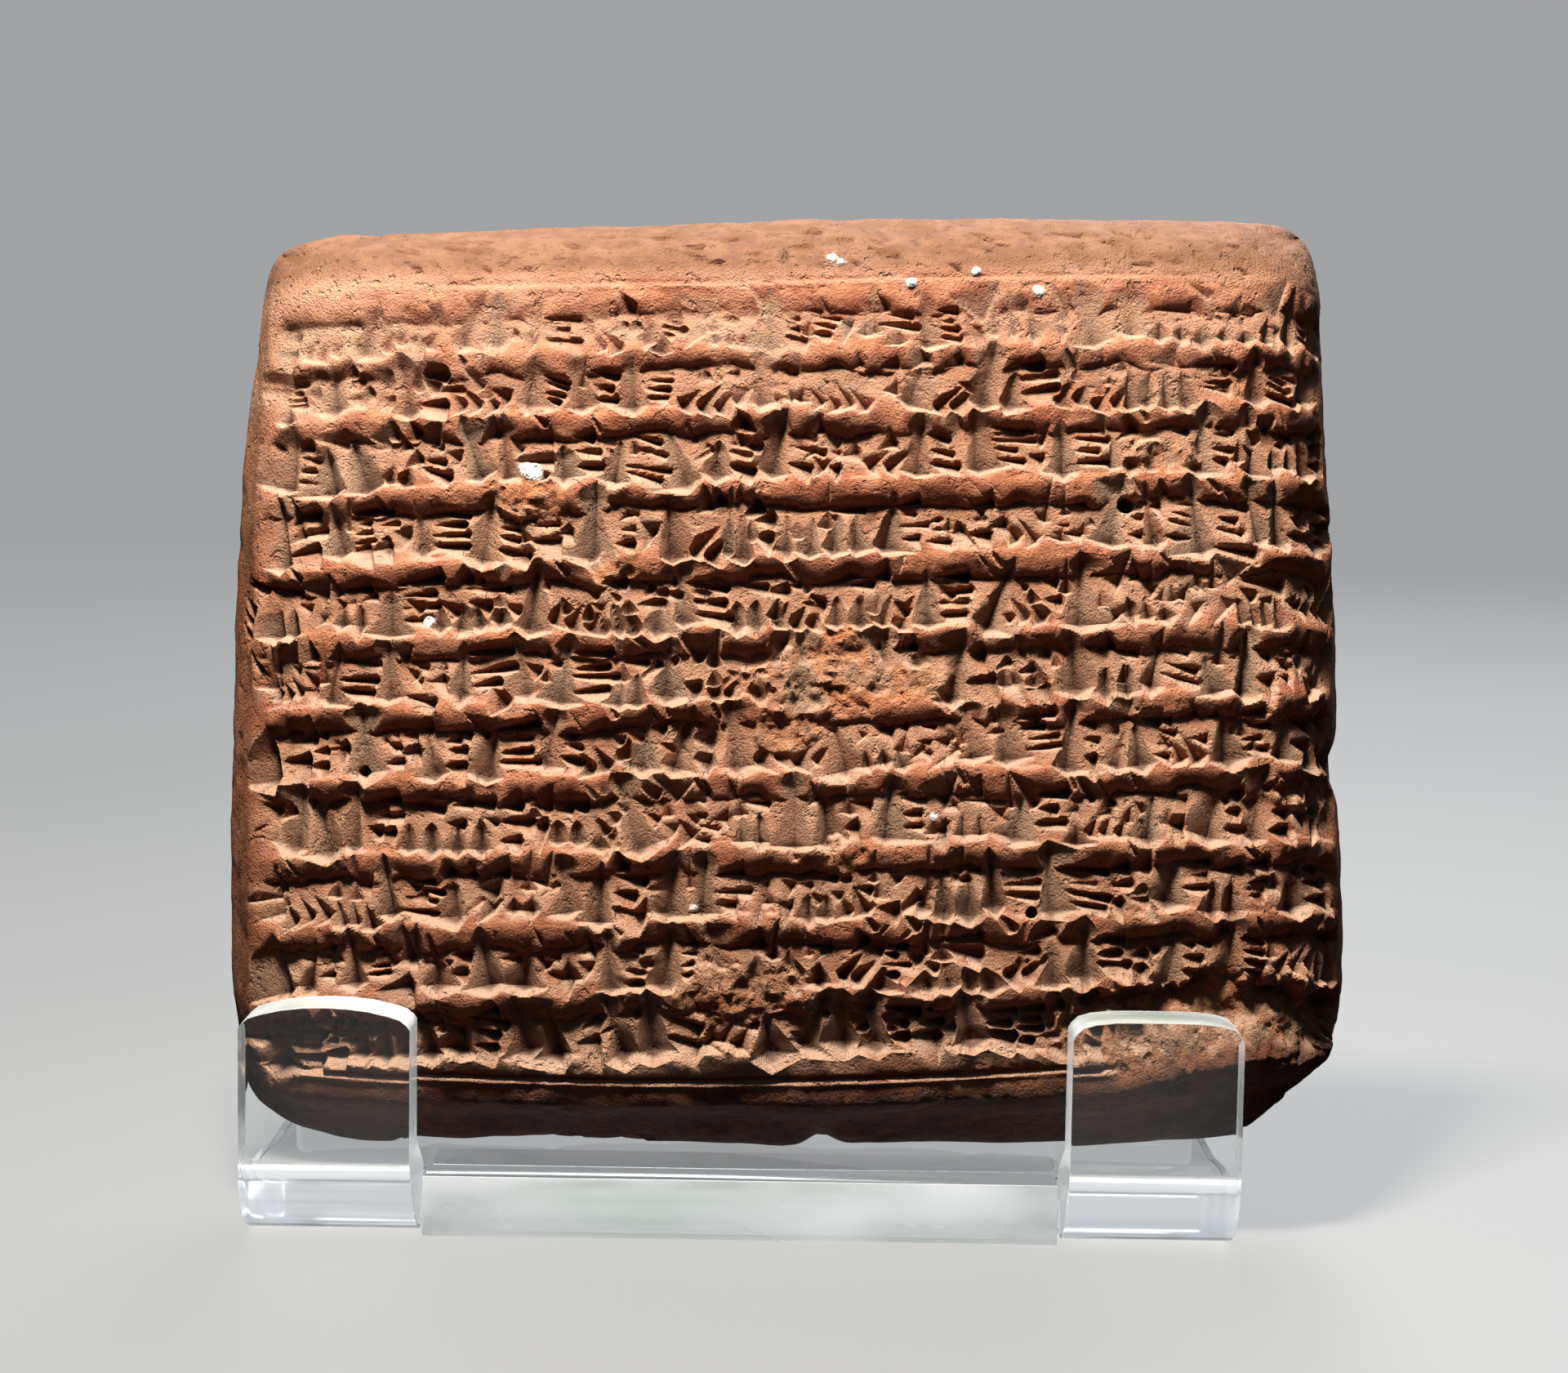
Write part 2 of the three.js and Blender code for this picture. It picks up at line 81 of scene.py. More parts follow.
class Socket:
    """A node's output that sums, differences and products can be written with."""

    def __init__(self, tree, output):
        self.tree = tree
        self.output = output

    def node(self, kind, settings=None, inputs=None, out=0):
        """Adds a node of that kind, its settings first, and gives the output asked for."""
        made = self.tree.nodes.new(kind)
        for name, value in (settings or {}).items():
            if name == "stops":
                ramp = made.color_ramp.elements
                while len(ramp) < len(value):
                    ramp.new(0.5)
                for stop, (position, color) in zip(ramp, value):
                    stop.position = position
                    stop.color = color if len(color) == 4 else (*color, 1)
            else:
                setattr(made, name, value)
        for name, value in (inputs or {}).items():
            if isinstance(value, Socket):
                self.tree.links.new(value.output, made.inputs[name])
            else:
                made.inputs[name].default_value = value
        return Socket(self.tree, made.outputs[out])

    def maths(self, operation, *values):
        return self.node("ShaderNodeMath", {"operation": operation}, dict(enumerate(values)))

    def __add__(self, other):
        return self.maths("ADD", self, other)

    __radd__ = __add__

    def __mul__(self, other):
        return self.maths("MULTIPLY", self, other)

    __rmul__ = __mul__

    def __sub__(self, other):
        return self.maths("SUBTRACT", self, other)

    def __rsub__(self, other):
        return self.maths("SUBTRACT", other, self)

    def between(self, low, high):
        """0 below low, 1 above high, and smooth in between."""
        inputs = {"Value": self, "From Min": low, "From Max": high}
        return self.node("ShaderNodeMapRange", {"interpolation_type": "SMOOTHSTEP"}, inputs)

    def mix(self, first, second):
        """The first colour where this is 0, the second where it is 1."""
        color = lambda value: value if isinstance(value, Socket) or len(value) == 4 else (*value, 1)
        inputs = {0: self, 6: color(first), 7: color(second)}
        return self.node("ShaderNodeMix", {"data_type": "RGBA"}, inputs, out=2)

    def noise(self, vector, scale, detail=3, roughness=0.5):
        inputs = {"Vector": vector, "Scale": scale, "Detail": detail, "Roughness": roughness}
        return self.node("ShaderNodeTexNoise", {}, inputs)


def new_material(name, plain):
    """A material whose shader has these plain values, with the two sockets that patterns start from."""
    material = bpy.data.materials.new(name)
    material.use_nodes = True
    tree = material.node_tree
    shader = tree.nodes["Principled BSDF"]
    for socket, value in plain.items():
        shader.inputs[socket].default_value = value
    start = Socket(tree, None)
    place = start.node("ShaderNodeTexCoord", out="Object")
    return material, shader, start, place


def feed(shader, name, value):
    value.tree.links.new(value.output, shader.inputs[name])


bpy.ops.object.select_all(action="DESELECT")
bpy.ops.mesh.primitive_plane_add(size=FLOOR_SIZE)
floor = bpy.context.object
floor.name = "floor"
floor_finish, shader, start, place = new_material("floor_finish", {
    "Roughness": 0.6, "Emission Color": PAPER_WHITE, "Emission Strength": FLOOR_GLOW})
feed(shader, "Base Color", start.noise(place, 3).mix((0.08, 0.08, 0.075), (0.1, 0.1, 0.095)))
floor.data.materials.append(floor_finish)
bpy.ops.object.select_all(action="DESELECT")
bpy.ops.mesh.primitive_cylinder_add(vertices=96, radius=BACKDROP_RADIUS, depth=BACKDROP_HEIGHT,
                                    end_fill_type="NOTHING",
                                    location=(0, 0, BACKDROP_HEIGHT / 2 - BACKDROP_SUNK))
backdrop = bpy.context.object
backdrop.name = "backdrop"
paper, shader, start, place = new_material("backdrop_paper", {
    "Base Color": (0.05, 0.05, 0.05, 1), "Roughness": 1,
    "Emission Color": PAPER_WHITE, "Emission Strength": BACKDROP_GLOW})
backdrop.data.materials.append(paper)
for stage_piece in (floor, backdrop):
    stage_piece.visible_diffuse = False
    stage_piece.visible_glossy = False

world = bpy.data.worlds.new("studio")
world.use_nodes = True
world.node_tree.nodes["Background"].inputs["Color"].default_value = (0.62, 0.66, 0.7, 1)
world.node_tree.nodes["Background"].inputs["Strength"].default_value = WORLD_GLOW
bpy.context.scene.world = world
bpy.context.scene.view_settings.view_transform = "Standard"


def lamp(name, place, aim, size, power, color):
    """A square soft lamp that faces a point."""
    data = bpy.data.lights.new(name, "AREA")
    data.size = size
    data.energy = power
    data.color = color
    made = bpy.data.objects.new(name, data)
    bpy.context.scene.collection.objects.link(made)
    facing = (Vector(aim) - Vector(place)).to_track_quat("-Z", "Y")
    made.matrix_world = Matrix.Translation(place) @ facing.to_matrix().to_4x4()
    return made


lamp("overhead", (-0.04, -0.09, 0.3), (0, 0, 0.05), 0.05, 2.4, (1, 0.95, 0.87))
lamp("front", (0.25, -0.7, 0.35), (0, 0, 0.04), 0.6, 0.08, (1, 0.97, 0.93))
lamp("behind", (0.2, 0.6, 0.5), (0, 0, 0.05), 0.5, 4, (0.95, 0.97, 1))
ceiling = lamp("ceiling", (0, 0.02, 0.6), (0, 0, 0), 0.5, 2, (0.95, 0.98, 1))
ceiling.visible_diffuse = False

# --- Acrylic cradle -----------------------------------------------------------------------------------
# One strip of 5 mm clear acrylic, cut to shape and bent hot: two tabs turned up in front hold the tablet's
# foot, and a narrower back-rest rises behind it. Its cut edges are sanded and look frosted, with a painted
# glow; its faces are polished; and the bends are a little hazed where the sheet was stretched, with a
# painted glow and painted highlight streaks on them.
MM = 0.001
SHEET, BEND_INSIDE = 5, 3
BEND_OUTSIDE = BEND_INSIDE + SHEET
TAB_WIDTH, TAB_PROUD = 13.8, 4.8
# Each tab's height, its fall to the corners, and how late it falls: left, right.
TAB_TOPS = ((19.9, 1.25, 2.3), (19.7, 0.95, 5))
TAB_CORNER_START, TAB_CORNER_FALL = 0.93, 0.5
TAB_STRAIGHT, TAB_CREST = 18, 1  # the tab's plain part, and the part above it that the crown shapes
TAB_CUTS = (0.25, 0.8, 1.8, 3.4, 5.2, 6.9, 8.6, 10.4, 12, 13, 13.55)  # across each tab, from its left side
KERF = 0.5  # saw cut between each tab and the edge between them
REST_LEAN, REST_HEIGHT = math.radians(9), 62
# Height up the back-rest, and half its width there.
REST_STEPS = ((2, 40.45), (4, 40.2), (5.6, 39.2), (7, 37.3), (8, 34.6), (15.6, 25.6), (16.6, 25), (49, 25),
              (50.8, 24.6), (52.3, 23.6), (53.5, 21.8), (54.4, 19.3))
BEND_STEPS = 12
FLARE = 0.45  # the inside of a bend squeezes out sideways
EDGE_ROUNDING, EDGE_STEPS, SHARP_EDGE, CRADLE_SMOOTH = 0.35, 3, math.radians(50), math.radians(35)
ACRYLIC_IOR = 1.49
CLEAR, SANDED_GLOW, STRETCHED_GLOW = 0, 1, 2  # material slots

cradle_low, cradle_high = (np.array(corner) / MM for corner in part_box("acrylic_stand"))
middle_x = (cradle_low[0] + cradle_high[0]) / 2
half = (cradle_high[0] - cradle_low[0]) / 2
tab_bend_y = cradle_low[1] + BEND_OUTSIDE
bar_front_y = cradle_low[1] + TAB_PROUD
rise = (REST_HEIGHT - BEND_OUTSIDE) / math.cos(REST_LEAN)
rest_bend_y = cradle_high[1] - BEND_OUTSIDE * math.cos(REST_LEAN) - rise * math.sin(REST_LEAN)
tab_lefts = (middle_x - half, middle_x + half - TAB_WIDTH)


def pick(kind, test):
    """In edit mode, selects only the vertices, edges or faces whose middle and normal pass the test."""
    mesh = bmesh.from_edit_mesh(bpy.context.object.data)
    bpy.ops.mesh.select_mode(type=kind)
    bpy.ops.mesh.select_all(action="DESELECT")
    for item in {"VERT": mesh.verts, "EDGE": mesh.edges, "FACE": mesh.faces}[kind]:
        ends = [item] if kind == "VERT" else item.verts
        item_middle = sum((v.co for v in ends), Vector()) / len(ends) / MM
        normal = item.normal if kind != "EDGE" else (ends[1].co - ends[0].co).normalized()
        item.select_set(bool(test(item_middle, normal)))
    mesh.select_flush_mode()
    bmesh.update_edit_mesh(bpy.context.object.data)


bpy.ops.object.select_all(action="DESELECT")
base_middle = (middle_x * MM, (tab_bend_y + rest_bend_y) / 2 * MM, SHEET / 2 * MM)
bpy.ops.mesh.primitive_cube_add(size=1, location=base_middle)
cradle = bpy.context.object
cradle.name = "acrylic_cradle"
cradle.scale = (2 * half * MM, (rest_bend_y - tab_bend_y) * MM, SHEET * MM)
bpy.ops.object.transform_apply(location=True, rotation=True, scale=True)
bpy.ops.object.mode_set(mode="EDIT")
bar_ends = (tab_lefts[0] + TAB_WIDTH + KERF, tab_lefts[1] - KERF)
cuts = [left + cut for left in tab_lefts for cut in TAB_CUTS]
for cut in cuts + [tab_lefts[0] + TAB_WIDTH, tab_lefts[1], *bar_ends]:
    bpy.ops.mesh.select_all(action="SELECT")
    bpy.ops.mesh.bisect(plane_co=(cut * MM, 0, 0), plane_no=(1, 0, 0))
for left in tab_lefts:
    pick("FACE", lambda at, normal: normal.y < -0.9 and left < at.x < left + TAB_WIDTH)
    bpy.ops.mesh.spin(steps=BEND_STEPS, angle=math.pi / 2, center=(0, tab_bend_y * MM, BEND_OUTSIDE * MM),
                      axis=(1, 0, 0))
    for ahead in (TAB_STRAIGHT - BEND_OUTSIDE, TAB_CREST):
        bpy.ops.mesh.extrude_region_move(TRANSFORM_OT_translate={"value": (0, 0, ahead * MM)})
pick("FACE", lambda at, normal: normal.y < -0.9 and bar_ends[0] < at.x < bar_ends[1] and at.z < SHEET)
bpy.ops.mesh.extrude_region_move(TRANSFORM_OT_translate={"value": (0, (bar_front_y - tab_bend_y) * MM, 0)})
pick("FACE", lambda at, normal: normal.y > 0.9 and at.y > 0)
bpy.ops.mesh.spin(steps=BEND_STEPS, angle=math.pi / 2 - REST_LEAN,
                  center=(0, rest_bend_y * MM, BEND_OUTSIDE * MM), axis=(-1, 0, 0))
reached, width_now = 0, half
for height, width in REST_STEPS:
    ahead = (height - reached) * MM
    upward = (0, ahead * math.sin(REST_LEAN), ahead * math.cos(REST_LEAN))
    bpy.ops.mesh.extrude_region_move(TRANSFORM_OT_translate={"value": upward})
    bpy.ops.transform.resize(value=(width / width_now, 1, 1), center_override=(middle_x * MM, 0, 0))
    reached, width_now = height, width
bpy.ops.object.mode_set(mode="OBJECT")
points = np.empty(len(cradle.data.vertices) * 3, np.float32)
cradle.data.vertices.foreach_get("co", points)
points = points.reshape(-1, 3) / MM
for left, (top, fall, late) in zip(tab_lefts, TAB_TOPS):
    inside = (points[:, 0] > left - 0.01) & (points[:, 0] < left + TAB_WIDTH + 0.01)
    inside &= points[:, 1] < tab_bend_y - 0.01
    aside = (points[:, 0] - left) / TAB_WIDTH * 2 - 1
    crest = inside & (points[:, 2] > TAB_STRAIGHT + TAB_CREST / 2)
    corner = np.clip(abs(aside) - TAB_CORNER_START, 0, 1) / (1 - TAB_CORNER_START)
    points[crest, 2] = (top - fall * abs(aside) ** late - TAB_CORNER_FALL * corner)[crest]
    out, high = tab_bend_y - points[:, 1], BEND_OUTSIDE - points[:, 2]
    bent = np.clip(np.arctan2(out, high), 0, math.pi / 2)
    inner = np.clip((BEND_OUTSIDE + 1 - np.hypot(out, high)) / 6, 0.3, 1)
    squeeze = np.sin(2 * bent) * inner * (points[:, 2] < BEND_OUTSIDE)
    points[:, 0] += np.where(inside, FLARE * squeeze * aside, 0)
cradle.data.vertices.foreach_set("co", (points * MM).astype(np.float32).ravel())
bpy.ops.object.modifier_add(type="BEVEL")
edge_rounding = cradle.modifiers[-1]
edge_rounding.width = EDGE_ROUNDING * MM
edge_rounding.segments = EDGE_STEPS
edge_rounding.limit_method = "ANGLE"
edge_rounding.angle_limit = SHARP_EDGE
bpy.ops.object.modifier_apply(modifier=edge_rounding.name)
bpy.ops.object.shade_smooth_by_angle(angle=CRADLE_SMOOTH)

clear, shader, start, place = new_material("clear_acrylic", {
    "Base Color": (0.97, 0.99, 0.985, 1), "Transmission Weight": 1, "IOR": ACRYLIC_IOR, "Roughness": 0.02})
feed(shader, "Roughness", 0.015 + start.noise(place, 60, 3).between(0.55, 0.75) * 0.05)
# Sanded cut edges: the cloudy frosting is the edge's own; the emission is a painted glow, light that no lamp
# gives.
frosted_glow, shader, start, place = new_material("sanded_edge_glow", {
    "Transmission Weight": 0.6, "IOR": ACRYLIC_IOR,
    "Emission Color": (0.85, 0.93, 1, 1), "Emission Strength": 0.16})
drawn_out = start.node("ShaderNodeMapping", {}, {"Vector": place, "Scale": (0.5, 1, 1.6)})
clouds = start.noise(drawn_out, 110, 3, 0.5).between(0.3, 0.75)
feed(shader, "Base Color", clouds.mix((0.5, 0.55, 0.48), (1, 1, 1)))
feed(shader, "Roughness", 0.1 + clouds * 0.4)
# Bends: the haze is the sheet's own; the emission is a painted glow and the white streaks are painted
# highlights standing in for light refracted in the bend.
bend_haze_and_glow, shader, start, place = new_material("stretched_bend_glow", {
    "Transmission Weight": 0.8, "IOR": ACRYLIC_IOR, "Roughness": 0.1,
    "Emission Color": (0.9, 0.95, 1, 1), "Emission Strength": 0.36})
drawn_out = start.node("ShaderNodeMapping", {}, {"Vector": place, "Scale": (0.03, 0.6, 1)})
painted_highlight_streaks = start.noise(drawn_out, 900, 2, 0.5).between(0.35, 0.6)
feed(shader, "Base Color", painted_highlight_streaks.mix((0.6, 0.65, 0.7), (1, 1, 1)))
for finish in (clear, frosted_glow, bend_haze_and_glow):
    cradle.data.materials.append(finish)
for face in cradle.data.polygons:
    at, normal = face.center / MM, face.normal
    on_bar = abs(at.y - bar_front_y) < 0.36 and normal.y < -0.2 and at.z < SHEET + 0.1
    through = Vector((0, math.cos(REST_LEAN), -math.sin(REST_LEAN))) if at.y > 0 else Vector((0, 1, 0))
    sanded_glow = abs(normal.x) > 0.9 or on_bar or (at.z > BEND_OUTSIDE and abs(normal.dot(through)) < 0.4)
    stretched_glow = not sanded_glow and at.y < tab_bend_y and 0.3 < at.z < BEND_OUTSIDE - 1.5 and normal.y < -0.1
    face.material_index = SANDED_GLOW if sanded_glow else STRETCHED_GLOW if stretched_glow else CLEAR
cradle.visible_shadow = False
cradle.visible_diffuse = False
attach(cradle, "root")
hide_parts("acrylic_stand")

# --- Tablet -------------------------------------------------------------------------------------------
# A pillow of fired red clay, about 96 by 80 mm. Its face is pressed all over with rows of wedge strokes, its
# edges are rounded and chipped, and its back is plain. It leans back in the cradle on its own weight.
HALF_WIDE, HALF_TALL = 48, 40
LEFT_SIDE = (48, -7, 0.00134)  # reach, widest level, and how fast the side draws in from there
RIGHT_SIDE = (47.5, -18, 0.00035)
TOP_EDGE, TOP_RISE, TOP_CURVE = 39.8, 0.015, 0.0006
BOTTOM_EDGE, BOTTOM_DROP, BOTTOM_CURVE = 40.3, 0.008, 0.0003
TOP_CORNER, LEFT_FOOT_CORNER, RIGHT_FOOT_CORNER = 28, 11, 8  # superellipse powers
FACE_BULGE, FACE_POWER = 12, 8
BACK_BULGE, BACK_POWER = 14, 3.6
LEAN_BACK = math.radians(11)
TURN = math.radians(1.15)
FIRST_LINE = 31.9
ROW_HEIGHTS = (4.9, 5.4, 6.1, 6.2, 6.1, 6, 6, 6.2, 5.9, 5.7, 5.7)
LAST_LINE, LAST_SAG = -34.95, 0.00127
ROW_START, ROW_END = -44.8, 45.6
ROW_RISE = 0.011
ROLL_SIZE = 2.5  # how far down a row its roll of clay comes, above the trough
TROUGH_DEPTH, TROUGH_RISE = 1.1, 0.55
# Kinds of stroke group, and how often each comes.
GROUP_SHARES = {"bars and upright": 0.32, "upright": 0.2, "comb": 0.08, "slants": 0.1, "two wedges": 0.13,
                "gate": 0.05, "fence": 0.04, "bars and wedge": 0.08}
SMALL_STROKES, TOP_STROKES, ROLL_STROKES = 1500, 70, 60
FACE_CELLS = (768, 640)
BACK_CELLS = (96, 80)
FACE_TO_BACK = 0.12  # the narrow band between the face's rim and the back's
BACK_INSET = 0.8  # keeps the back clear of the back-rest
KEPT_SHARE = 0.185  # of the triangles, once the flat places are thinned
TABLET_SMOOTH = math.radians(38)

rng = np.random.default_rng(7)


def half_width(x, z):
    reach, widest, curve = (np.where(x < 0, left, right) for left, right in zip(LEFT_SIDE, RIGHT_SIDE))
    return reach - curve * (z - widest) ** 2


def half_height(x, z):
    top = TOP_EDGE + TOP_RISE * x - TOP_CURVE * x * x
    bottom = BOTTOM_EDGE + BOTTOM_DROP * x - BOTTOM_CURVE * x * x
    return np.where(z > 0, top, bottom)


def even_steps(t, power, half, bulge):
    """For t in even steps over the curved section: its place across the flat square, and along the curve."""
    across = np.sin(np.linspace(0, math.pi / 2, 4000)) ** 0.5
    across = 1 - (1 - across) ** 2
    rise = bulge * np.sqrt(np.clip(1 - across**power, 0, 1))
    length = np.concatenate([[0], np.cumsum(np.hypot(np.diff(across * half), np.diff(rise)))])
    return np.sign(t) * np.interp(np.abs(t), length / length[-1], across), length[-1] * t


def pillow(u, v, power, bulge):
    """Points of one side of the tablet, for grids u and v from -1 to 1."""
    a, along_x = even_steps(u, power, HALF_WIDE, bulge)
    b, along_z = even_steps(v, power, HALF_TALL, bulge)
    square = np.maximum(np.maximum(abs(a), abs(b)), 1e-9)
    x, z = a * HALF_WIDE, b * HALF_TALL
    for _ in range(8):
        corner = np.where(z > 0, TOP_CORNER, np.where(x < 0, LEFT_FOOT_CORNER, RIGHT_FOOT_CORNER))
        p, q = abs(a) / square, abs(b) / square
        shrink = 1 - (1 - np.maximum(p**corner + q**corner, 1) ** (-1 / corner)) * square**12
        x = a * shrink * half_width(x, z)
        z = b * shrink * half_height(x, z)
    depth = bulge * np.sqrt(np.clip((1 - abs(a) ** power) * (1 - abs(b) ** power), 0, 1))
    return x, z, depth, along_x, along_z


def lumps(x, z, size, seed):
    """Smooth random hills from -1 to 1, about size across."""
    table = np.random.default_rng(seed).uniform(-1, 1, (256, 256))
    i, j = x / size + 1000.3, z / size + 1000.7
    i0, j0 = np.floor(i).astype(int), np.floor(j).astype(int)
    fi, fj = i - i0, j - j0
    fi, fj = fi * fi * (3 - 2 * fi), fj * fj * (3 - 2 * fj)
    at = lambda di, dj: table[(i0 + di) % 256, (j0 + dj) % 256]
    low = at(0, 0) * (1 - fi) + at(1, 0) * fi
    high = at(0, 1) * (1 - fi) + at(1, 1) * fi
    return low * (1 - fj) + high * fj


def rough(x, z, size, seed, octaves=4, gain=0.55):
    """Random hills with smaller ones on them."""
    return sum(gain**k * lumps(x + 17 * k, z - 9 * k, size / 2**k, seed + k) for k in range(octaves))


def smooth(value, low, high):
    t = np.clip((value - low) / (high - low), 0, 1)
    return t * t * (3 - 2 * t)


def blur(field, radius):
    """Three running means, which come close to a soft blur."""
    for _ in range(3):
        for axis in (0, 1):
            width = [(0, 0), (0, 0)]
            width[axis] = (radius + 1, radius)
            total = np.cumsum(np.pad(field, width, mode="edge"), axis=axis)
            upper = np.take(total, range(2 * radius + 1, total.shape[axis]), axis=axis)
            lower = np.take(total, range(0, total.shape[axis] - 2 * radius - 1), axis=axis)
            field = (upper - lower) / (2 * radius + 1)
    return field


columns, lines = FACE_CELLS
grid_u, grid_v = np.meshgrid(np.linspace(-1, 1, columns + 1), np.linspace(-1, 1, lines + 1))
face_x, face_z, face_depth, unrolled_x, unrolled_z = pillow(grid_u, grid_v, FACE_POWER, FACE_BULGE)
# Where each place would lie if the rounded sides were rolled out flat.
ink_x = face_x + (unrolled_x - HALF_WIDE * even_steps(grid_u, FACE_POWER, HALF_WIDE, FACE_BULGE)[0])
ink_z = face_z + (unrolled_z - HALF_TALL * even_steps(grid_v, FACE_POWER, HALF_TALL, FACE_BULGE)[0])
step = unrolled_x[0, 1] - unrolled_x[0, 0]
step_z = unrolled_z[1, 0] - unrolled_z[0, 0]

relief = np.zeros_like(face_x)
dents = np.zeros_like(face_x)
dust = np.zeros_like(face_x)


def level(row, x):
    """The height of the line that a row hangs from."""
    return FIRST_LINE - sum(ROW_HEIGHTS[:row]) + ROW_RISE * x


def press(x, z, heading, length, width, depth, bias=0.0, dusty=0.5, head=3.2, blunt=0.0):
    """One dent of the stylus, which deepens from a tail, blunt or sharp, to a steep head at x, z."""
    reach = length + width
    column, line = int(x / step + columns / 2), int(z / step_z + lines / 2)
    span = int(reach / step) + 20
    rows = slice(max(0, line - span), max(0, min(lines + 1, line + span)))
    cols = slice(max(0, column - span), max(0, min(columns + 1, column + span)))
    dx, dz = math.cos(heading), math.sin(heading)
    px, pz = ink_x[rows, cols] - x, ink_z[rows, cols] - z
    ahead = px * dx + pz * dz
    aside = -px * dz + pz * dx
    slope = 2 * depth / width
    valley = np.minimum(depth * (1 + (1 - blunt) * ahead / length), depth - ahead * head)
    valley = np.minimum(valley, (ahead + length) * 0.7)
    side = np.where(aside > 0, slope * (1 + bias), slope * (1 - bias))
    dent = valley - side * abs(aside)
    deeper = dent > dents[rows, cols]
    dents[rows, cols][deeper] = dent[deeper]
    dust[rows, cols][deeper] = dusty


RIGHTWARD, DOWNWARD = 0.0, -math.pi / 2


def upright(x, top, foot, width, depth, lean=0.0):
    press(x, foot, DOWNWARD + lean, top - foot, width, depth, rng.uniform(-0.45, 0.45), rng.uniform(0.4, 1),
          rng.uniform(1, 2.4), 0.55)


def stack(x, top, foot, length, bars, depth=1.6):
    pitch = (top - foot) / bars
    tilt = rng.uniform(-0.25, 0.14)
    for bar in range(bars):
        z = foot + pitch * (bar + 0.5) + rng.uniform(-0.1, 0.1)
        reach = length * rng.uniform(0.7, 1.2)
        press(x + reach, z + reach * tilt, RIGHTWARD + tilt + rng.uniform(-0.1, 0.1), reach * 1.25,
              pitch * 2.1, depth * rng.uniform(0.9, 1.2), rng.uniform(-0.1, 0.45), rng.uniform(0, 0.4),
              3.4, 0.5)


def corner_wedge(x, z, size, depth, heading):
    press(x, z, heading, size * 1.7, size * 2.3, depth, rng.uniform(-0.3, 0.3), rng.uniform(0.3, 0.9), 2.4)


def slants(x, top, foot, count, pitch, heading, depth):
    length = (top - foot) / abs(math.sin(heading)) * rng.uniform(0.9, 1.2)
    for k in range(count):
        z = foot + rng.uniform(-0.2, 0.5)
        press(x + k * pitch, z, heading + rng.uniform(-0.08, 0.08), length * rng.uniform(0.8, 1.1) * 1.5,
              pitch * 2.3, depth, rng.uniform(-0.2, 0.3), rng.uniform(0, 0.6), 2.4)


# The rows: a lumpy roll of clay with a ledge along its top, and below it a trough that strokes are cut in.
wobble = 0.3 * lumps(ink_x, 0 * ink_z, 5, 31) + 0.2 * lumps(ink_x, ink_z, 2.2, 32)
below_line = ink_z - ROW_RISE * ink_x + wobble
roll_size = ROLL_SIZE + 0.5 * lumps(ink_x, ink_z / 3, 2.6, 33) + 0.25 * lumps(ink_x, ink_z / 2, 1.1, 34)
roll_lift = 0.22 * lumps(ink_x, ink_z / 3, 2.4, 35) + 0.08 * lumps(ink_x, ink_z, 0.9, 36)
rounding = 0.44 + 0.16 * lumps(ink_x, ink_z, 3, 37)
on_roll = np.zeros_like(relief)
for row, height in enumerate(ROW_HEIGHTS):
    under = FIRST_LINE - sum(ROW_HEIGHTS[:row]) - below_line
    rising = np.clip((under - 2.4) / (height - 2.4), 0, 1)
    trough = TROUGH_DEPTH - TROUGH_RISE * rising + 0.22 * lumps(ink_x, ink_z, 1.8, 40 + row)
    down = np.clip(under / roll_size, 0, 1)
    belly = trough * (0.1 * down + 0.9 * (1 - np.sqrt(1 - down**2)))
    belly += (0.15 if row == 0 else 1) * rounding * np.clip(1 - under / 1.05, 0, 1) ** 2
    shelf = 0.9 + 0.25 * lumps(ink_x, ink_z, 2, 60 + row)
    ledge = np.clip((height - under) / shelf, 0, 1)
    inside = (under > 0) & (under < height)
    lift = roll_lift * smooth(under, 0, 0.5) * (1 - smooth(under, 1.4, 2.4))
    relief[inside] = (belly * ledge + rounding * (1 - ledge) - lift)[inside]
    on_roll[inside] = np.maximum(1 - smooth(down, 0.85, 1), 1 - smooth(ledge, 0, 1))[inside]
across_rows = smooth(ink_x, ROW_START - 1, ROW_START + 1.4) * (1 - smooth(ink_x, ROW_END + 1.5, ROW_END + 4))
relief *= across_rows

